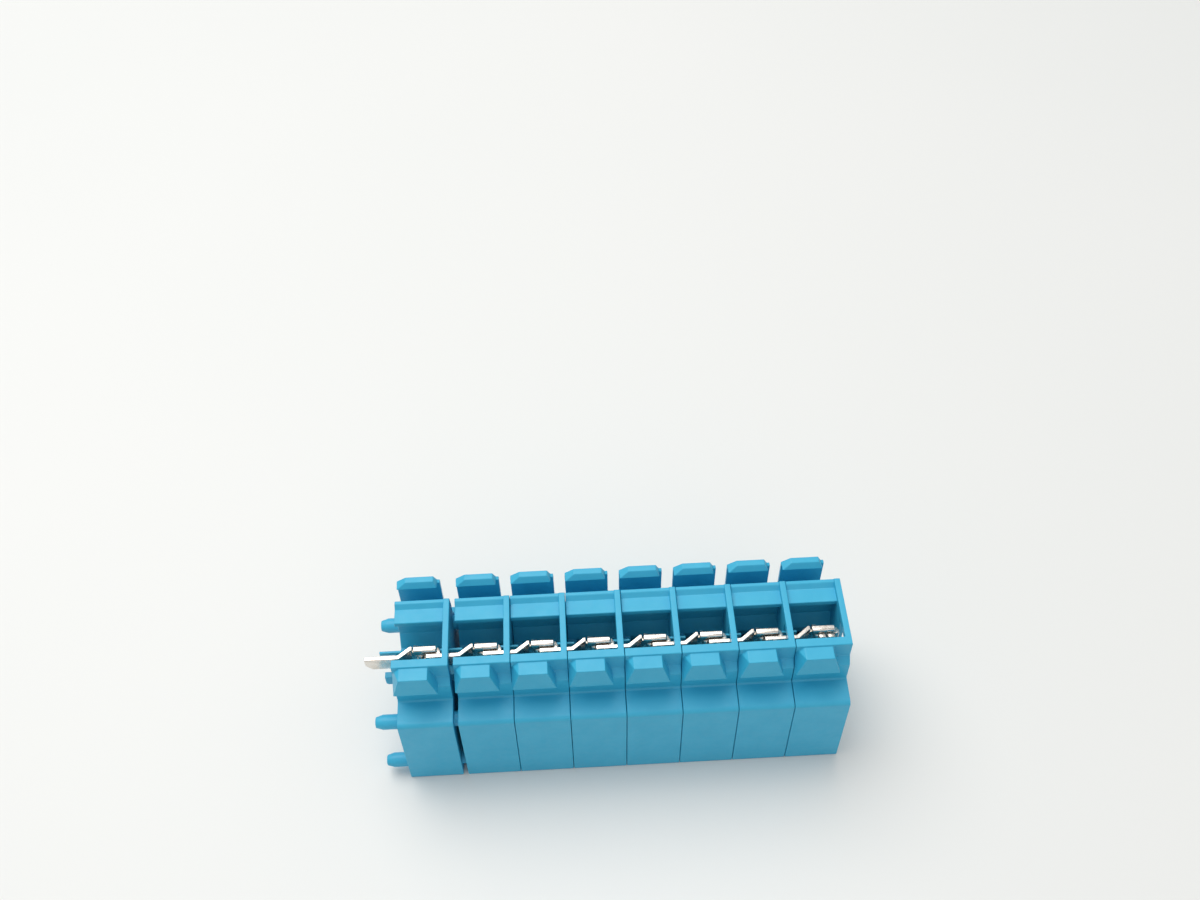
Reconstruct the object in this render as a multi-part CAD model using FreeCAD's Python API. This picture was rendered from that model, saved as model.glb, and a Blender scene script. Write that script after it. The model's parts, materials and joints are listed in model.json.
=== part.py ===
"""Strip of eight snap-together rail terminal modules, in millimetres.

X runs along the strip, Y to the rear and Z up. The origin is the middle of the
underside of everything together. Each module is a moulded housing, a bus contact
whose blade plugs into the module on its left, and a wire clamp spring.
"""
import math
import os

import FreeCAD
import Part

# Strip
MODULES = 8
PITCH = 10.0
JOINT_GAP = 0.1
PULLED_OUT = 0.8
WIDTH = PITCH - JOINT_GAP

# Outside of a housing, measured from its front face and its underside
BASE_DEPTH = 25.0
SHELF_Z = 19.9
SHELF_RISE = 0.6
NECK_Y = 4.9
NECK_H = 4.5
UPPER_H = 10.3
FRONT_Y = 6.0
REAR_SHELF = 4.7
REAR_RISE = 0.5
BULGE = 1.5
BULGE_DROP = 2.2
NECK_Z = SHELF_Z + SHELF_RISE
NECK_TOP_Z = NECK_Z + NECK_H
TOP_Z = SHELF_Z + UPPER_H
REAR_Y = BASE_DEPTH - REAR_SHELF
REAR_TOP_Z = TOP_Z + REAR_RISE

# Walls, the flat with its lip and ridge, and the deck under the well
SIDE_WALL = 1.1
FRONT_WALL = 1.6
REAR_WALL = 2.8
DECK_RISE = 0.5
DECK = 1.4
FLAT_DEPTH = 4.9
FLAT_DROP = 1.1
LIP = 1.1
RIDGE_DEPTH = 2.05
RIDGE_SLOPE = 0.8
RIDGE_DROP = 0.35
FUNNEL_H = 2.6
FUNNEL_RUN = 1.6
INNER_X = WIDTH - SIDE_WALL
INNER_FRONT_Y = FRONT_Y + FRONT_WALL
INNER_REAR_Y = REAR_Y - REAR_WALL
DECK_Z = SHELF_Z + DECK_RISE
FLAT_Y = REAR_Y - FLAT_DEPTH
FLAT_Z = REAR_TOP_Z - FLAT_DROP

# Corner radii of the moulding
TIGHT_R = 0.2
CORNER_R = 0.3
SOFT_R = 0.5
BELLY_R = 0.9

# Latch tooth at the front and latch finger at the rear
TOOTH_Y = 3.5
TOOTH_W = 7.8
TOOTH_H = 4.6
TOOTH_RAKE = 0.3
TOOTH_DROP = 0.3
TOOTH_CHAMFER = 1.4
TOOTH_CHAMFER_DROP = 1.0
FINGER_INSET = 0.3
FINGER_W = 7.4
FINGER_DROP = 0.2
FINGER_CHAMFER = 1.7
FINGER_TAPER = 0.6
FINGER_RAKE = 0.8
FINGER_NOSE_H = 1.1
FINGER_NOSE = 1.2
TONGUE_T = 0.8
TONGUE_W = 7.9

# Pegs and the holes they plug into: each peg as Y, Z and length
PEG_R = 1.35
PEG_LEAD = 0.4
PEG_TAPER = 1.3
PEG_CLEARANCE = 0.05
PEG_HOLE_EXTRA = 0.5
FRONT_PEG_LEN = 4.2
REAR_PEG_LEN = 3.4
PEGS = (
    (2.6, SHELF_Z - 2.5, FRONT_PEG_LEN),
    (2.4, 2.9, FRONT_PEG_LEN),
    (REAR_Y - 0.9, NECK_TOP_Z - BULGE_DROP, REAR_PEG_LEN),
)

# Bus contact, one folded sheet: from the front, the tines, the neighbour's blade and the leaf
SHEET = 0.8
TINE_CLEARANCE = 0.12
BLADE_PLAY = 0.13
BUMP_CLEARANCE = 0.02
BUMP_H = 0.88
TINE_Y = INNER_FRONT_Y + TINE_CLEARANCE
BLADE_Y = TINE_Y + SHEET + BLADE_PLAY
LEAF_Y = BLADE_Y + SHEET + BUMP_CLEARANCE + BUMP_H
LEAF_BACK_Y = LEAF_Y + SHEET
CONTACT_DROP = 1.2
CONTACT_TOP = TOP_Z - CONTACT_DROP
BLADE_LEN = 5.0
BLADE_H = 3.1
BLADE_DROP = 0.3
BLADE_Z = (CONTACT_TOP - BLADE_DROP - BLADE_H, CONTACT_TOP - BLADE_DROP)
JOG_X = (0.9, 3.0)
LEAF_START = 3.4
LEAF_MARGIN = 1.2
LEAF_X = (LEAF_START, INNER_X - LEAF_MARGIN)
HEM = 0.6
HEM_H = 1.2
HEM_R = 0.5
NOTCH = 0.25
NOTCH_DEPTH = 1.0
FLANGE_R = 0.35
FLANGE_SET_BACK = 0.4
FLANGE_CLEARANCE = 0.1
FLANGE_X = LEAF_X[1] - FLANGE_SET_BACK
FLANGE_Z = (BLADE_Z[0] - 0.6, BLADE_Z[1] - 0.4)
TINES_W = 2.8
TINES_MARGIN = 0.1
TINE_SPLIT = 0.4
TINE_LEAN = 1.1
TINE_DROP = 0.7
FOLD_DROP = 1.9
TINE_X = (LEAF_X[1] - TINES_MARGIN - TINES_W, LEAF_X[1] - TINES_MARGIN)
TINE_TOP = CONTACT_TOP - TINE_DROP
FOLD_Z = BLADE_Z[0] - FOLD_DROP
BUMP_R = 0.75
BUMP_MARGIN = 0.9
BUMP_SPACING = 2.0
BUMP_X = (LEAF_X[1] - BUMP_MARGIN - BUMP_SPACING, LEAF_X[1] - BUMP_MARGIN)
BUMP_Z = BLADE_Z[0] + 1.2

# Guides that reach into the neighbour beside the blade, and the window they pass through
GUIDE_CLEARANCE = 0.1
GUIDE_T = 0.45
GUIDE_H = 0.9
GUIDE_LEN = 2.8
GUIDE_POST = 1.2
GUIDE_Y = (LEAF_BACK_Y + GUIDE_CLEARANCE, LEAF_BACK_Y + GUIDE_CLEARANCE + GUIDE_T)
GUIDE_Z = (BLADE_Z[0] + 0.1, BLADE_Z[0] + 0.1 + GUIDE_H)
LUG_T = 1.2
LUG_SET_FORWARD = 0.45
LUG_LEN = 2.1
LUG_CLEARANCE = 0.4
LUG_R = 0.6
LUG_ROOT = 0.9
LUG_Y = (BLADE_Y - LUG_SET_FORWARD, BLADE_Y - LUG_SET_FORWARD + LUG_T)
LUG_Z = (DECK_Z + 0.5, FOLD_Z - LUG_CLEARANCE)
WINDOW_CLEARANCE = 0.1
WINDOW_Y = (INNER_FRONT_Y, GUIDE_Y[1] + WINDOW_CLEARANCE)
WINDOW_Z = (DECK_Z, BLADE_Z[1] + WINDOW_CLEARANCE)

# Clamp chamber, the tail that hangs in it and the spring that presses a wire on the tail
SLOT_CLEARANCE = 0.05
CHAMBER_Z = 6.6
CHAMBER_REAR_WALL = 6.0
CHAMBER_Y = (LEAF_Y - SLOT_CLEARANCE, BASE_DEPTH - CHAMBER_REAR_WALL)
CHAMBER_TOP_Z = DECK_Z - DECK
TAIL_X = (LEAF_X[0] + 0.5, LEAF_X[1] - 0.2)
TAIL_Z = CHAMBER_Z + 1.4
WIRE_HOLE_X = (1.6, INNER_X - 0.7)
WIRE_HOLE_Y = (LEAF_BACK_Y, INNER_REAR_Y - FUNNEL_RUN)
SPRING_T = 0.5
SPRING_OVERHANG = 0.1
SPRING_BEND_R = 1.0
SPRING_HEADROOM = 2.5
SPRING_FOOT_RISE = 1.8
SPRING_X = (TAIL_X[0] - SPRING_OVERHANG, TAIL_X[1] + SPRING_OVERHANG)
SPRING_BEND_Z = CHAMBER_TOP_Z - SPRING_HEADROOM - SPRING_BEND_R - SPRING_T
SPRING_FOOT_Z = CHAMBER_Z + SPRING_FOOT_RISE
LEG_TIP_Z = CHAMBER_Z + 3.8
LEG_TIP_GAP = 0.05
LEG_ROOT_GAP = 0.05

# Weight-saving pockets, open on the left like the chamber
POCKET_WALL = 1.5
POCKET_Z = 6.0
FRONT_POCKET_DROP = 5.3
REAR_POCKET_DROP = 1.5
FRONT_POCKET = (POCKET_WALL, CHAMBER_Y[0] - POCKET_WALL, POCKET_Z, SHELF_Z - FRONT_POCKET_DROP)
REAR_POCKET = (
    CHAMBER_Y[1] + POCKET_WALL,
    BASE_DEPTH - POCKET_WALL,
    POCKET_Z,
    SHELF_Z - REAR_POCKET_DROP,
)

# Foot for a 15 mm top-hat rail
RAIL_W = 15.3
RAIL_SLOT_Z = (2.2, 3.5)
RAIL_LIP = 1.25
MOUTH_LEAD = 0.6
MOUTH_LEAD_Z = 0.9
HOOK_T = 1.25
FOOT_SLIT = 0.9
FOOT_SLIT_Z = 4.4


def vec(x, y, z):
    return FreeCAD.Vector(x, y, z)


def box(x0, x1, y0, y1, z0, z1):
    return Part.makeBox(x1 - x0, y1 - y0, z1 - z0, vec(x0, y0, z0))


def side_wire(x, corners):
    """Closed outline in the YZ plane from (y, z, radius) corners, radius 0 for sharp."""
    edges = []
    starts = []
    ends = []
    count = len(corners)
    arcs = []
    for i in range(count):
        y, z, r = corners[i]
        here = vec(x, y, z)
        before = vec(x, corners[i - 1][0], corners[i - 1][1])
        after = vec(x, corners[(i + 1) % count][0], corners[(i + 1) % count][1])
        if r == 0:
            starts.append(here)
            ends.append(here)
            arcs.append(None)
            continue
        to_before = (before - here).normalize()
        to_after = (after - here).normalize()
        half = to_before.getAngle(to_after) / 2.0
        reach = r / math.tan(half)
        bisector = (to_before + to_after).normalize()
        middle = here + bisector * (r / math.sin(half) - r)
        starts.append(here + to_before * reach)
        ends.append(here + to_after * reach)
        arcs.append(middle)
    for i in range(count):
        if arcs[i] is not None:
            edges.append(Part.Arc(starts[i], arcs[i], ends[i]).toShape())
        edges.append(Part.makeLine(ends[i], starts[(i + 1) % count]))
    return Part.Wire(edges)


def side_prism(corners, x0, x1):
    """Solid whose outline in the YZ plane is given, from x0 to x1."""
    return Part.Face(side_wire(x0, corners)).extrude(vec(x1 - x0, 0, 0))


def polygon_prism(points, direction):
    wire = Part.makePolygon(points + [points[0]])
    return Part.Face(wire).extrude(direction)


def fuse_all(shapes):
    result = shapes[0].multiFuse(shapes[1:])
    return result.removeSplitter()


def outline():
    """Outside of the side wall: lower body, neck, upper body and rear shelf."""
    bulge_y = REAR_Y + BULGE
    return [
        (0.0, 0.0, CORNER_R),
        (0.0, SHELF_Z, BELLY_R),
        (NECK_Y, NECK_Z, SOFT_R),
        (NECK_Y, NECK_TOP_Z, SOFT_R),
        (FRONT_Y, NECK_TOP_Z + 1.5, SOFT_R),
        (FRONT_Y, TOP_Z, TIGHT_R),
        (REAR_Y - 0.7, REAR_TOP_Z, CORNER_R),
        (REAR_Y, REAR_TOP_Z - 2.8, SOFT_R),
        (REAR_Y, NECK_TOP_Z - 0.4, SOFT_R),
        (bulge_y, NECK_TOP_Z - BULGE_DROP, SOFT_R),
        (bulge_y, NECK_Z, SOFT_R),
        (BASE_DEPTH, SHELF_Z, BELLY_R),
        (BASE_DEPTH, 0.0, CORNER_R),
    ]


def well_cut():
    """Space above the deck, under the flat's lip, above the flat and over the ridge behind it."""
    above = REAR_TOP_Z + 1.0
    ridge_y = REAR_Y - RIDGE_DEPTH
    ridge_z = REAR_TOP_Z - RIDGE_DROP
    corners = [
        (INNER_FRONT_Y, DECK_Z, CORNER_R),
        (INNER_FRONT_Y, above, 0.0),
        (REAR_Y + 1.0, above, 0.0),
        (REAR_Y + 1.0, ridge_z, 0.0),
        (ridge_y + RIDGE_SLOPE, ridge_z, SOFT_R),
        (ridge_y, FLAT_Z, CORNER_R),
        (FLAT_Y, FLAT_Z, TIGHT_R),
        (FLAT_Y, FLAT_Z - LIP, TIGHT_R),
        (INNER_REAR_Y, FLAT_Z - LIP, CORNER_R),
        (INNER_REAR_Y, DECK_Z + FUNNEL_H, CORNER_R),
        (INNER_REAR_Y - FUNNEL_RUN, DECK_Z, 0.0),
    ]
    return side_prism(corners, -1.0, INNER_X)


def chamber_cut():
    y0, y1 = CHAMBER_Y
    corners = [
        (y0, CHAMBER_Z, SOFT_R),
        (y0, CHAMBER_TOP_Z, SOFT_R),
        (y1, CHAMBER_TOP_Z, SOFT_R),
        (y1, CHAMBER_Z, SOFT_R),
    ]
    return side_prism(corners, -1.0, INNER_X)


def pocket_cut(pocket):
    y0, y1, z0, z1 = pocket
    corners = [(y0, z0, SOFT_R), (y0, z1, SOFT_R), (y1, z1, SOFT_R), (y1, z0, SOFT_R)]
    return side_prism(corners, -1.0, INNER_X)


def rail_cut():
    """Slot for the rail's flanges, its mouth, and the slit that frees the sprung hook."""
    mid = BASE_DEPTH / 2.0
    half = RAIL_W / 2.0
    mouth = half - RAIL_LIP
    z0, z1 = RAIL_SLOT_Z
    x0 = -1.0
    x1 = PITCH + 1.0
    corners = [
        (mid - mouth - MOUTH_LEAD, -1.0, 0.0),
        (mid - mouth, MOUTH_LEAD_Z, 0.0),
        (mid - mouth, z1, 0.0),
        (mid + mouth, z1, 0.0),
        (mid + mouth, MOUTH_LEAD_Z, 0.0),
        (mid + mouth + MOUTH_LEAD, -1.0, 0.0),
    ]
    slot = box(x0, x1, mid - half, mid + half, z0, z1)
    slit_y = mid + half + HOOK_T
    slit = box(x0, x1, slit_y, slit_y + FOOT_SLIT, -1.0, FOOT_SLIT_Z)
    return slot.fuse(side_prism(corners, x0, x1)).fuse(slit)


def facet_solid(points, faces):
    """Solid from a list of points and the flat faces that join them."""
    shapes = []
    for face in faces:
        loop = [points[i] for i in face]
        shapes.append(Part.Face(Part.makePolygon(loop + [loop[0]])))
    return Part.makeSolid(Part.makeShell(shapes))


def tooth():
    """Front latch tooth, its left corner cut off down to the wall and its right end sloping."""
    c = TOOTH_CHAMFER
    toe = TOOTH_Y - TOOTH_RAKE
    top = TOP_Z - TOOTH_DROP
    low = top - TOOTH_H
    back = FRONT_Y + 0.5 * FRONT_WALL
    points = [
        vec(c, back, top),
        vec(c, TOOTH_Y, top),
        vec(TOOTH_W - c, TOOTH_Y, top),
        vec(TOOTH_W - c, back, top),
        vec(0, back, low),
        vec(0, toe, low),
        vec(TOOTH_W, toe, low),
        vec(TOOTH_W, back, low),
        vec(0, back, top - TOOTH_CHAMFER_DROP),
    ]
    faces = [
        (0, 1, 2, 3),
        (4, 7, 6, 5),
        (1, 5, 6, 2),
        (2, 6, 7, 3),
        (0, 3, 7, 4, 8),
        (0, 8, 1),
        (8, 5, 1),
        (8, 4, 5),
    ]
    return facet_solid(points, faces)


def finger():
    """Rear latch finger: an upright tongue under a nose that leans back and tapers to its top."""
    back = BASE_DEPTH - FINGER_INSET
    front = back - TONGUE_T
    nose = front - FINGER_NOSE
    foot = NECK_Z - 2.0
    high = REAR_TOP_Z - FINGER_DROP
    low = high - FINGER_NOSE_H
    left = FINGER_CHAMFER
    right = FINGER_W - FINGER_TAPER
    points = [
        vec(0, nose, low),
        vec(FINGER_W, nose, low),
        vec(FINGER_W, back, low),
        vec(0, back, low),
        vec(left, nose + FINGER_RAKE, high),
        vec(right, nose + FINGER_RAKE, high),
        vec(right, back, high),
        vec(left, back, high),
    ]
    faces = [
        (0, 3, 2, 1),
        (4, 5, 6, 7),
        (0, 1, 5, 4),
        (1, 2, 6, 5),
        (2, 3, 7, 6),
        (3, 0, 4, 7),
    ]
    tongue = box(0, TONGUE_W, front, back, foot, low)
    return facet_solid(points, faces).fuse(tongue)


def peg(y, z, length):
    """Round peg on the left face, tapered at its tip and rooted in the housing."""
    root = 0.6
    shank = Part.makeCylinder(PEG_R, length - PEG_TAPER + root, vec(root, y, z), vec(-1, 0, 0))
    tip = vec(PEG_TAPER - length, y, z)
    cone = Part.makeCone(PEG_R, PEG_R - PEG_LEAD, PEG_TAPER, tip, vec(-1, 0, 0))
    return shank.fuse(cone)


def peg_hole(y, z, length):
    r = PEG_R + PEG_CLEARANCE
    depth = length + PEG_HOLE_EXTRA
    return Part.makeCylinder(r, depth + 1.0, vec(WIDTH - depth, y, z), vec(1, 0, 0))


def guide():
    """Thin finger beside the blade, on a post that stands on the deck."""
    y0, y1 = GUIDE_Y
    z0, z1 = GUIDE_Z
    post = box(0.0, GUIDE_POST, y0, y1, DECK_Z - 0.4, z1)
    return post.fuse(box(-GUIDE_LEN, GUIDE_POST, y0, y1, z0, z1))


def lug():
    """Short lug under the blade, its lower outer corner rounded."""
    y0, y1 = LUG_Y
    z0, z1 = LUG_Z
    r = LUG_R
    tip = -LUG_LEN
    turn = r - r * math.sqrt(0.5)
    start = vec(tip, y0, z0 + r)
    end = vec(tip + r, y0, z0)
    edges = [
        Part.Arc(start, vec(tip + turn, y0, z0 + turn), end).toShape(),
        Part.makeLine(end, vec(LUG_ROOT, y0, z0)),
        Part.makeLine(vec(LUG_ROOT, y0, z0), vec(LUG_ROOT, y0, z1)),
        Part.makeLine(vec(LUG_ROOT, y0, z1), vec(tip, y0, z1)),
        Part.makeLine(vec(tip, y0, z1), start),
    ]
    nose = Part.Face(Part.Wire(edges)).extrude(vec(0, y1 - y0, 0))
    return nose.fuse(box(0.0, LUG_ROOT, y0, y1, DECK_Z - 0.4, z1))


def window_cut():
    y0, y1 = WINDOW_Y
    z0, z1 = WINDOW_Z
    corners = [(y0, z0, 0.0), (y0, z1, SOFT_R), (y1, z1, SOFT_R), (y1, z0, 0.0)]
    return side_prism(corners, INNER_X - 1.0, PITCH + 1.0)


def tail_slot():
    c = SLOT_CLEARANCE
    x0, x1 = TAIL_X
    return box(x0 - c, x1 + c, LEAF_Y - c, LEAF_BACK_Y + c, CHAMBER_TOP_Z - 1.0, DECK_Z + 1.0)


def wire_hole():
    x0, x1 = WIRE_HOLE_X
    y0, y1 = WIRE_HOLE_Y
    return box(x0, x1, y0, y1, CHAMBER_TOP_Z - 1.0, DECK_Z + DECK_RISE)


def housing():
    """Moulded housing: closed on the right by its side wall, open on the left."""
    body = side_prism(outline(), 0.0, WIDTH)
    for cut in (well_cut(), chamber_cut(), pocket_cut(FRONT_POCKET), pocket_cut(REAR_POCKET)):
        body = body.cut(cut)
    body = fuse_all([body, tooth(), finger(), guide(), lug()])
    for cut in (wire_hole(), tail_slot(), window_cut(), rail_cut()):
        body = body.cut(cut)
    body = fuse_all([body] + [peg(*p) for p in PEGS])
    for p in PEGS:
        body = body.cut(peg_hole(*p))
    return body.removeSplitter()


def blade():
    """Blade, joggle and the first of the leaf, as one strip of sheet, the blade's tip cut off."""
    t = SHEET
    z0, z1 = BLADE_Z
    jx0, jx1 = JOG_X
    end_x = LEAF_X[0] + 1.0
    knee = 0.5 * t * math.tan(0.5 * math.atan2(LEAF_Y - BLADE_Y, jx1 - jx0))
    plan = [
        (-BLADE_LEN, BLADE_Y),
        (jx0 + knee, BLADE_Y),
        (jx1 + knee, LEAF_Y),
        (end_x, LEAF_Y),
        (end_x, LEAF_BACK_Y),
        (jx1 - knee, LEAF_BACK_Y),
        (jx0 - knee, BLADE_Y + t),
        (-BLADE_LEN, BLADE_Y + t),
    ]
    strip = polygon_prism([vec(x, y, z0) for x, y in plan], vec(0, 0, z1 - z0))
    tip = -BLADE_LEN
    corner = [
        vec(tip - 1, 0, z0 - 1),
        vec(tip + 1.1, 0, z0 - 1),
        vec(tip + 1.1, 0, z0),
        vec(tip, 0, z0 + 1.3),
        vec(tip - 1, 0, z0 + 1.3),
    ]
    return strip.cut(polygon_prism(corner, vec(0, BASE_DEPTH, 0)))


def flange():
    """Quarter bend at the leaf's right end, its edge close behind the next module's blade."""
    t = SHEET
    z0, z1 = FLANGE_Z
    outer = FLANGE_R + t
    tip_y = BLADE_Y + t + FLANGE_CLEARANCE
    centre_y = LEAF_Y - FLANGE_R
    half = math.sqrt(0.5)
    inside = [
        vec(FLANGE_X, LEAF_Y, z0),
        vec(FLANGE_X + FLANGE_R * half, centre_y + FLANGE_R * half, z0),
        vec(FLANGE_X + FLANGE_R, centre_y, z0),
    ]
    outside = [
        vec(FLANGE_X, LEAF_BACK_Y, z0),
        vec(FLANGE_X + outer * half, centre_y + outer * half, z0),
        vec(FLANGE_X + outer, centre_y, z0),
    ]
    inside_tip = vec(FLANGE_X + FLANGE_R, tip_y, z0)
    outside_tip = vec(FLANGE_X + outer, tip_y, z0)
    edges = [
        Part.Arc(*inside).toShape(),
        Part.makeLine(inside[2], inside_tip),
        Part.makeLine(inside_tip, outside_tip),
        Part.makeLine(outside_tip, outside[2]),
        Part.Arc(*reversed(outside)).toShape(),
        Part.makeLine(outside[0], inside[0]),
    ]
    return Part.Face(Part.Wire(edges)).extrude(vec(0, 0, z1 - z0))


def leaf():
    """Upright leaf: narrow beside the flange, its top edge folded forward into a round hem."""
    x0, x1 = LEAF_X
    hem_y = LEAF_Y - HEM
    hem_z = CONTACT_TOP - HEM_H
    corners = [
        (hem_y, hem_z, TIGHT_R),
        (hem_y, CONTACT_TOP, HEM_R),
        (LEAF_BACK_Y, CONTACT_TOP, HEM_R),
        (LEAF_BACK_Y, hem_z, 0.0),
    ]
    hem = side_prism(corners, x0, x1)
    low = box(x0, x1, LEAF_Y, LEAF_BACK_Y, DECK_Z, FLANGE_Z[0])
    middle = box(x0, FLANGE_X, LEAF_Y, LEAF_BACK_Y, FLANGE_Z[0], FLANGE_Z[1])
    tail = box(TAIL_X[0], TAIL_X[1], LEAF_Y, LEAF_BACK_Y, TAIL_Z, DECK_Z)
    return [low, middle, hem, tail]


def tines(lean):
    """Two spring tines that rise from a fold under the blade's path, leaning back by lean."""
    t = SHEET
    x0, x1 = TINE_X
    fold = box(x0, x1, TINE_Y, LEAF_Y + 0.4, FOLD_Z, FOLD_Z + t)
    side = [
        vec(x0, TINE_Y, FOLD_Z),
        vec(x0, TINE_Y + t, FOLD_Z),
        vec(x0, TINE_Y + lean + t, TINE_TOP),
        vec(x0, TINE_Y + lean, TINE_TOP),
    ]
    plate = polygon_prism(side, vec(x1 - x0, 0, 0))
    split_x = 0.5 * (x0 + x1)
    half = 0.5 * TINE_SPLIT
    split = box(split_x - half, split_x + half, 0, LEAF_Y - 0.1, FOLD_Z + 1.5 * t, CONTACT_TOP + 1)
    return fold.fuse(plate).cut(split)


def contact(lean):
    """Bus contact: blade, joggle, leaf with two bumps and a flange, tines and clamp tail."""
    t = SHEET
    x0, x1 = LEAF_X
    metal = fuse_all([blade(), flange(), tines(lean)] + leaf())
    z1 = BLADE_Z[1]
    notch = box(x0 - 0.1, x0 - 0.1 + NOTCH, LEAF_Y - 1, LEAF_Y + 2, z1 - NOTCH_DEPTH, z1 + 2)
    metal = metal.cut(notch)
    reach = BLADE_Y + t + BUMP_CLEARANCE
    for x in BUMP_X:
        ball = Part.makeSphere(BUMP_R, vec(x, reach + BUMP_R, BUMP_Z))
        hollow = Part.makeSphere(0.55 * BUMP_R, vec(x, LEAF_BACK_Y + 0.1, BUMP_Z))
        front_half = ball.common(box(x0, x1, 0, LEAF_Y + 0.4, DECK_Z, CONTACT_TOP))
        metal = metal.fuse(front_half).cut(hollow)
    return metal.removeSplitter()


def clamp_spring():
    """Fixed part of the clamp spring: a foot against the chamber's rear wall and its bend."""
    x0, x1 = SPRING_X
    rear = CHAMBER_Y[1]
    outer = SPRING_BEND_R + SPRING_T
    centre_y = rear - outer
    foot = box(x0, x1, rear - SPRING_T, rear, SPRING_FOOT_Z, SPRING_BEND_Z)
    ring = Part.makeCylinder(outer, x1 - x0, vec(x0, centre_y, SPRING_BEND_Z), vec(1, 0, 0))
    bore = Part.makeCylinder(
        SPRING_BEND_R, x1 - x0 + 2, vec(x0 - 1, centre_y, SPRING_BEND_Z), vec(1, 0, 0)
    )
    lower = box(x0 - 1, x1 + 1, centre_y - 5, centre_y + 5, SPRING_BEND_Z - 5, SPRING_BEND_Z)
    bend = ring.cut(bore).cut(lower)
    return foot.fuse(bend).removeSplitter()


def leg_axis():
    """Y and Z of the line the clamping leg bends about."""
    y = CHAMBER_Y[1] - 2.0 * SPRING_BEND_R - 1.5 * SPRING_T
    z = SPRING_BEND_Z - LEG_ROOT_GAP - 0.5 * SPRING_T
    return y, z


def clamp_leg():
    """Moving leg of the clamp spring, its tip resting by the contact's tail."""
    x0, x1 = SPRING_X
    y, z = leg_axis()
    tip_y = LEAF_BACK_Y + LEG_TIP_GAP
    half = 0.5 * SPRING_T
    length = math.hypot(y - tip_y, z - LEG_TIP_Z)
    dy = (tip_y - y) / length
    dz = (LEG_TIP_Z - z) / length
    rise = half / -dy
    points = [
        vec(x0, y - dz * half, z + dy * half),
        vec(x0, y + dz * half, z - dy * half),
        vec(x0, tip_y, LEG_TIP_Z + rise),
        vec(x0, tip_y, LEG_TIP_Z - rise),
    ]
    strip = polygon_prism(points, vec(x1 - x0, 0, 0))
    root = Part.makeCylinder(half, x1 - x0, vec(x0, y, z), vec(1, 0, 0))
    return strip.fuse(root).removeSplitter()


def module_shift(index):
    """Where module number index (1 at the left end) stands along X."""
    left_end = -BLADE_LEN - PULLED_OUT
    right_end = MODULES * PITCH - JOINT_GAP
    shift = (index - 1) * PITCH - 0.5 * (left_end + right_end)
    if index == 1:
        shift -= PULLED_OUT
    return vec(shift, -0.5 * BASE_DEPTH, 0)


def export(name, shape, shift):
    placed = shape.copy()
    placed.translate(shift)
    placed.exportStep(os.path.join("parts", name + ".step"))


def main():
    os.makedirs("parts", exist_ok=True)
    pieces = {
        "housing": housing(),
        "contact": contact(0.0),
        "clamp_spring": clamp_spring(),
        "clamp_leg": clamp_leg(),
    }
    for index in range(1, MODULES + 1):
        if index == MODULES:
            pieces["contact"] = contact(TINE_LEAN)
        for name, shape in pieces.items():
            export("%s_%d" % (name, index), shape, module_shift(index))


main()
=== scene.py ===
"""Looks of the strip of rail terminal modules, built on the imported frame, in metres.

Each CAD node is stood for by a finished copy of itself: the same shape with its coplanar faces
joined and its sharp edges rounded, as moulding or stamping leaves them, and a material of its own.
"""

import json
import math

import bmesh
import bpy
from mathutils import Matrix, Vector
from mathutils.bvhtree import BVHTree


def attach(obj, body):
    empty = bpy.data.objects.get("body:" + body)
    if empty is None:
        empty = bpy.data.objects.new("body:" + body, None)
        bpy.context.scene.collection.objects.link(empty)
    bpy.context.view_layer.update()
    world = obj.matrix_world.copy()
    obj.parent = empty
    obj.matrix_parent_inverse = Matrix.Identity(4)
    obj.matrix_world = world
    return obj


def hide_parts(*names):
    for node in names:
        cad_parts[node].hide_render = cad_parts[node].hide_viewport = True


MM = 0.001

# Camera: where it stands, how it is turned, and its lens in mm
CAMERA_AT = Vector((-4.5, -116.6, 217.4)) * MM
CAMERA_HEADING = math.radians(2.0)
CAMERA_PITCH = math.radians(49.97)
CAMERA_ROLL = math.radians(1.27)
CAMERA_LENS = 36.95
CAMERA_CLIP = (0.01, 20.0)

# Table, in metres across, set just below the strip
FLOOR_SIZE = 4.0
FLOOR_DROP = 0.02 * MM

# Surroundings: the zenith's colour is reached where a direction rises by this share of its length
WORLD_STRENGTH = 0.56
HORIZON = (0.78, 0.775, 0.77)
ZENITH = (0.99, 1.0, 1.0)
ZENITH_FROM = 0.7

# Soft lights: a large one above and behind the strip, and a weak one in front
KEY_SIZE = 1.1
KEY_AT = Vector((-0.3, 0.34, 1.0))
KEY_POWER = 8.8
KEY_COLOUR = (1.0, 0.99, 0.965)
FILL_SIZE = 0.8
FILL_AT = Vector((0.15, -0.8, 0.75))
FILL_POWER = 0.9
FILL_COLOUR = (0.97, 0.985, 1.0)

# Edge rounding of each kind of piece, given to edges that turn by more than the sharp turn
PLASTIC_EDGE = 0.12 * MM
SHEET_EDGE = 0.14 * MM
SPRING_EDGE = 0.06 * MM
EDGE_STEPS = 2
SHARP_TURN = math.radians(28)
EDGE_LAYER = "rounded_edge"

# Clean-up: points this close are one, and faces that turn by less than this are one
SAME_POINT = 0.002 * MM
FLAT_TURN = math.radians(0.6)

# A corner that is more than this many edge widths off the surface is a stray
STRAY = 1.02

# Say of the larger faces in the shading at their corners: 50 is an equal say, 100 is the most
LARGE_FACE_WEIGHT = 100

# Spans of the noise that are spread over a material's range
WHOLE = (0.0, 1.0)
MIDDLE = (0.3, 0.7)
WIDE_MIDDLE = (0.25, 0.75)

# In each material, a pattern is its cells per metre and its levels of detail, and a relief is
# a pattern with its height and strength

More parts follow.
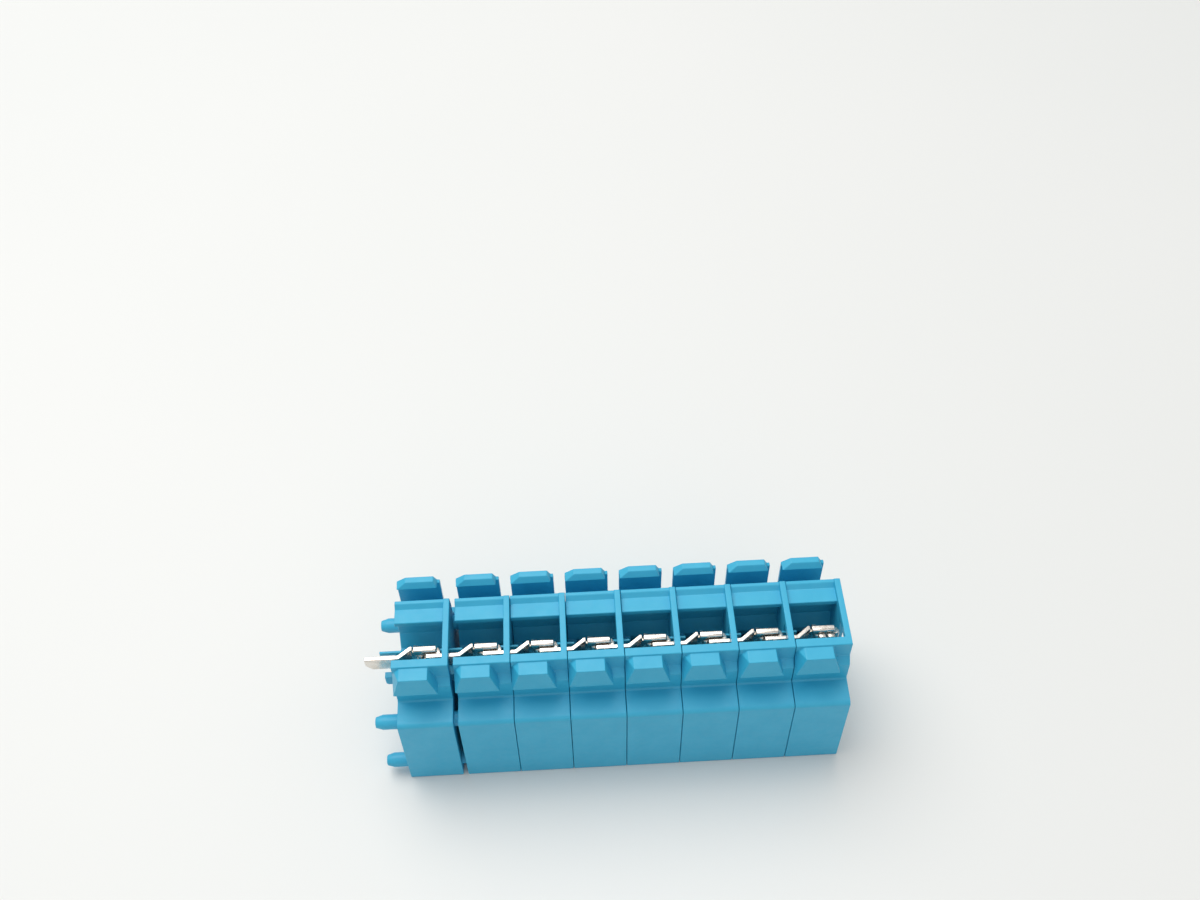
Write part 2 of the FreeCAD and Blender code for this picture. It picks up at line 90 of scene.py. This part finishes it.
# Moulded plastic
PLASTIC_COLOURS = ((0.030, 0.405, 0.635), (0.040, 0.435, 0.665))
PLASTIC_MOTTLE = (260.0, 3.0)
# Painted highlight: the paler blue mixed into the rounded edges, and the most of it they take
PLASTIC_EDGE_HIGHLIGHT = (0.12, 0.56, 0.76)
PLASTIC_EDGE_HIGHLIGHT_SHARE = 0.35
PLASTIC_ROUGHNESS = (0.38, 0.50)
PLASTIC_SHEEN = (900.0, 3.0)
PLASTIC_WAVES = (220.0, 1.0, 0.05 * MM, 0.35)
PLASTIC_GRAIN = (9000.0, 2.0, 0.012 * MM, 0.55)

# Tin plate, with its rolling lines drawn out along the strip
TIN_COLOURS = ((0.68, 0.62, 0.55), (0.86, 0.82, 0.77))
TIN_CLOUD = (700.0, 3.0)
TIN_ROUGHNESS = (0.17, 0.30)
TIN_SHEEN = (1800.0, 4.0)
TIN_STRETCH = (0.06, 1.0, 1.0)
TIN_LINES = (9000.0, 2.0, 0.006 * MM, 0.5)
TIN_DENTS = (1100.0, 2.0, 0.02 * MM, 0.4)

# Spring steel, with its rolling lines drawn out round the bend
STEEL_COLOURS = ((0.50, 0.49, 0.475), (0.64, 0.63, 0.61))
STEEL_STREAKS = (6000.0, 2.0)
STEEL_ROUGHNESS = (0.26, 0.40)
STEEL_SHEEN = (1500.0, 3.0)
STEEL_STRETCH = (1.0, 0.05, 0.05)
STEEL_LINES = (9000.0, 2.0, 0.005 * MM, 0.5)

# Table top
TABLE_COLOURS = ((0.785, 0.795, 0.785), (0.80, 0.805, 0.795))
TABLE_CLOUD = (6.0, 2.0)
TABLE_ROUGHNESS = 0.55


def material(name):
    """New material, with its node tree and its shader."""
    made = bpy.data.materials.new(name)
    made.use_nodes = True
    return made, made.node_tree, made.node_tree.nodes["Principled BSDF"]


def add_node(tree, kind, **settings):
    node = tree.nodes.new(kind)
    for key, value in settings.items():
        setattr(node, key, value)
    return node


def noise(tree, coordinates, pattern):
    node = add_node(tree, "ShaderNodeTexNoise")
    node.inputs["Scale"].default_value, node.inputs["Detail"].default_value = pattern
    tree.links.new(coordinates, node.inputs["Vector"])
    return node.outputs["Fac"]


def remap(tree, value, source, target):
    """The value, with its source range spread over the target range."""
    node = add_node(tree, "ShaderNodeMapRange")
    node.inputs["From Min"].default_value, node.inputs["From Max"].default_value = source
    node.inputs["To Min"].default_value, node.inputs["To Max"].default_value = target
    tree.links.new(value, node.inputs["Value"])
    return node.outputs["Result"]


def mix(tree, share, first, second):
    """Mix of two colours, each a socket or a plain colour."""
    node = add_node(tree, "ShaderNodeMix", data_type="RGBA")
    tree.links.new(share, node.inputs["Factor"])
    colours = [s for s in node.inputs if s.type == "RGBA"]
    for socket, colour in zip(colours, (first, second)):
        if isinstance(colour, bpy.types.NodeSocket):
            tree.links.new(colour, socket)
        else:
            socket.default_value = (*colour, 1.0)
    return [s for s in node.outputs if s.type == "RGBA"][0]


def relief(tree, coordinates, pattern, under=None):
    """Normals of a bumpy surface, added to the normals of another relief if one is given."""
    scale, detail, height, strength = pattern
    node = add_node(tree, "ShaderNodeBump")
    node.inputs["Distance"].default_value = height
    node.inputs["Strength"].default_value = strength
    tree.links.new(noise(tree, coordinates, (scale, detail)), node.inputs["Height"])
    if under is not None:
        tree.links.new(under, node.inputs["Normal"])
    return node.outputs["Normal"]


def edge_share(tree):
    return add_node(tree, "ShaderNodeAttribute", attribute_name=EDGE_LAYER).outputs["Fac"]


def object_coordinates(tree, stretch=(1.0, 1.0, 1.0)):
    source = add_node(tree, "ShaderNodeTexCoord").outputs["Object"]
    mapping = add_node(tree, "ShaderNodeMapping")
    mapping.inputs["Scale"].default_value = stretch
    tree.links.new(source, mapping.inputs["Vector"])
    return mapping.outputs["Vector"]


def moulded_plastic():
    """Satin blue polyamide: fine spark-eroded grain, faint flow mottling, and a painted highlight
    that makes the rounded edges paler.
    """
    made, tree, shader = material("moulded_blue_polyamide")
    place = object_coordinates(tree)
    mottle = remap(tree, noise(tree, place, PLASTIC_MOTTLE), MIDDLE, WHOLE)
    body = mix(tree, mottle, *PLASTIC_COLOURS)
    # Painted highlight: the body colour mixed towards a paler blue on the rounded edges
    edge_highlight = remap(tree, edge_share(tree), WHOLE, (0.0, PLASTIC_EDGE_HIGHLIGHT_SHARE))
    colour = mix(tree, edge_highlight, body, PLASTIC_EDGE_HIGHLIGHT)
    tree.links.new(colour, shader.inputs["Base Color"])
    gloss = remap(tree, noise(tree, place, PLASTIC_SHEEN), WIDE_MIDDLE, PLASTIC_ROUGHNESS)
    tree.links.new(gloss, shader.inputs["Roughness"])
    waves = relief(tree, place, PLASTIC_WAVES)
    grain = relief(tree, place, PLASTIC_GRAIN, waves)
    tree.links.new(grain, shader.inputs["Normal"])
    return made


def tin_plate():
    """Bright tin plate: rolling lines along the strip, faint clouding and shallow dents."""
    made, tree, shader = material("bright_tin_plate")
    place = object_coordinates(tree)
    along = object_coordinates(tree, TIN_STRETCH)
    cloud = remap(tree, noise(tree, place, TIN_CLOUD), MIDDLE, WHOLE)
    tree.links.new(mix(tree, cloud, *TIN_COLOURS), shader.inputs["Base Color"])
    gloss = remap(tree, noise(tree, place, TIN_SHEEN), MIDDLE, TIN_ROUGHNESS)
    tree.links.new(gloss, shader.inputs["Roughness"])
    lines = relief(tree, along, TIN_LINES)
    dents = relief(tree, place, TIN_DENTS, lines)
    tree.links.new(dents, shader.inputs["Normal"])
    shader.inputs["Metallic"].default_value = 1.0
    return made


def spring_strip():
    """Rolled stainless spring strip, its grain running round the bend and down the legs."""
    made, tree, shader = material("rolled_spring_steel")
    across = object_coordinates(tree, STEEL_STRETCH)
    place = object_coordinates(tree)
    streaks = remap(tree, noise(tree, across, STEEL_STREAKS), MIDDLE, WHOLE)
    tree.links.new(mix(tree, streaks, *STEEL_COLOURS), shader.inputs["Base Color"])
    gloss = remap(tree, noise(tree, place, STEEL_SHEEN), MIDDLE, STEEL_ROUGHNESS)
    tree.links.new(gloss, shader.inputs["Roughness"])
    lines = relief(tree, across, STEEL_LINES)
    tree.links.new(lines, shader.inputs["Normal"])
    shader.inputs["Metallic"].default_value = 1.0
    return made


def pale_table():
    made, tree, shader = material("pale_table")
    place = object_coordinates(tree)
    cloud = remap(tree, noise(tree, place, TABLE_CLOUD), MIDDLE, WHOLE)
    tree.links.new(mix(tree, cloud, *TABLE_COLOURS), shader.inputs["Base Color"])
    shader.inputs["Roughness"].default_value = TABLE_ROUGHNESS
    return made


def settle_strays(work, surface, edge):
    """Bring each corner that the rounding threw off the surface back among its neighbours."""
    strays = {v for v in work.verts if surface.find_nearest(v.co)[3] > STRAY * edge}
    for vertex in strays:
        neighbours = [e.other_vert(vertex) for e in vertex.link_edges]
        near = [v.co for v in neighbours if v not in strays]
        if near:
            vertex.co = sum(near, Vector()) / len(near)


def finished_copy(node, name, edge):
    """Mesh piece with the node's shape, its flat faces joined and its sharp edges rounded."""
    work = bmesh.new()
    work.from_mesh(node.data)
    surface = BVHTree.FromBMesh(work)
    bmesh.ops.remove_doubles(work, verts=work.verts, dist=SAME_POINT)
    bmesh.ops.dissolve_limit(
        work,
        angle_limit=FLAT_TURN,
        use_dissolve_boundaries=False,
        verts=work.verts,
        edges=work.edges,
    )
    bmesh.ops.connect_verts_concave(work, faces=work.faces[:])
    sharp = [e for e in work.edges if e.is_manifold and e.calc_face_angle(0.0) > SHARP_TURN]
    rounded = bmesh.ops.bevel(
        work,
        geom=sharp,
        offset=edge,
        offset_type="OFFSET",
        segments=EDGE_STEPS,
        profile=0.5,
        affect="EDGES",
        clamp_overlap=False,
        miter_outer="ARC",
    )
    settle_strays(work, surface, edge)
    work.normal_update()
    layer = work.faces.layers.float.new(EDGE_LAYER)
    for face in work.faces:
        outward = surface.find_nearest(face.calc_center_median())[1]
        face.smooth = outward.dot(face.normal) > 0.0
    for face in rounded["faces"]:
        if face.is_valid:
            face[layer] = 1.0
    data = bpy.data.meshes.new(name)
    work.to_mesh(data)
    work.free()
    piece = bpy.data.objects.new(name, data)
    bpy.context.scene.collection.objects.link(piece)
    weights = piece.modifiers.new("flat_faces", "WEIGHTED_NORMAL")
    weights.keep_sharp = True
    weights.weight = LARGE_FACE_WEIGHT
    return piece


# For each kind of node: the name of its piece, its edge rounding, its slot and its material
KINDS = {
    "housing": ("moulded_housing", PLASTIC_EDGE, "housing_plastic", moulded_plastic),
    "contact": ("plated_contact", SHEET_EDGE, "contact_tinned", tin_plate),
    "clamp_spring": ("spring_bend", SPRING_EDGE, "spring_steel", spring_strip),
    "clamp_leg": ("spring_leg", SPRING_EDGE, "spring_steel", spring_strip),
}


def build_pieces(frame):
    finishes = {}
    for body, members in frame["record"]["behaviour"]["bodies"].items():
        for node in members:
            kind, number = node.rsplit("_", 1)
            stem, edge, slot, finish = KINDS[kind]
            if finish not in finishes:
                finishes[finish] = finish()
            piece = finished_copy(frame["nodes"][node], stem + "_" + number, edge)
            piece.data.materials.append(finishes[finish])
            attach(piece, body)
            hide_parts(node)


def build_floor():
    data = bpy.data.meshes.new("table_top")
    half = FLOOR_SIZE / 2
    corners = [(-half, -half), (half, -half), (half, half), (-half, half)]
    data.from_pydata([(x, y, -FLOOR_DROP) for x, y in corners], [], [(0, 1, 2, 3)])
    floor = bpy.data.objects.new("table_top", data)
    floor.data.materials.append(pale_table())
    bpy.context.scene.collection.objects.link(floor)


def build_world():
    """Pale surroundings, a little dimmer towards the horizon."""
    world = bpy.data.worlds.new("studio")
    world.use_nodes = True
    tree = world.node_tree
    sky = tree.nodes["Background"]
    sky.inputs["Strength"].default_value = WORLD_STRENGTH
    source = add_node(tree, "ShaderNodeTexCoord").outputs["Generated"]
    split = add_node(tree, "ShaderNodeSeparateXYZ")
    tree.links.new(source, split.inputs["Vector"])
    height = remap(tree, split.outputs["Z"], (0.0, ZENITH_FROM), WHOLE)
    tree.links.new(mix(tree, height, HORIZON, ZENITH), sky.inputs["Color"])
    bpy.context.scene.world = world


def softbox(name, place, size, power, colour):
    """Round area light that faces the origin."""
    light = bpy.data.lights.new(name, "AREA")
    light.shape = "DISK"
    light.size = size
    light.energy = power
    light.color = colour
    lamp = bpy.data.objects.new(name, light)
    lamp.location = place
    lamp.rotation_euler = (-place).to_track_quat("-Z", "Y").to_euler()
    bpy.context.scene.collection.objects.link(lamp)


def build_camera():
    data = bpy.data.cameras.new("viewpoint")
    data.lens = CAMERA_LENS
    data.clip_start, data.clip_end = CAMERA_CLIP
    camera = bpy.data.objects.new("viewpoint", data)
    turn = Matrix.Rotation(-CAMERA_HEADING, 4, "Z")
    tip = Matrix.Rotation(math.pi / 2 - CAMERA_PITCH, 4, "X")
    roll = Matrix.Rotation(-CAMERA_ROLL, 4, "Z")
    camera.matrix_world = Matrix.Translation(CAMERA_AT) @ turn @ tip @ roll
    bpy.context.scene.collection.objects.link(camera)
    bpy.context.scene.camera = camera


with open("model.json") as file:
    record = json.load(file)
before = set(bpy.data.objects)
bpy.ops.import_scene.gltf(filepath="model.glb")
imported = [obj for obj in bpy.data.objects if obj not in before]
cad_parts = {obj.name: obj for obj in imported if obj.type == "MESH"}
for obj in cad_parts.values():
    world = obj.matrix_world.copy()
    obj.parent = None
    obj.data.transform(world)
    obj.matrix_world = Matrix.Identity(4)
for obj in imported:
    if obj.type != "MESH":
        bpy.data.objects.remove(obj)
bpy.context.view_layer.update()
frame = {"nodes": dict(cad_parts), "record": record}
bpy.context.scene.view_settings.view_transform = "Standard"
build_camera()
build_world()
softbox("overhead_softbox", KEY_AT, KEY_SIZE, KEY_POWER, KEY_COLOUR)
softbox("front_fill", FILL_AT, FILL_SIZE, FILL_POWER, FILL_COLOUR)
build_floor()
build_pieces(frame)
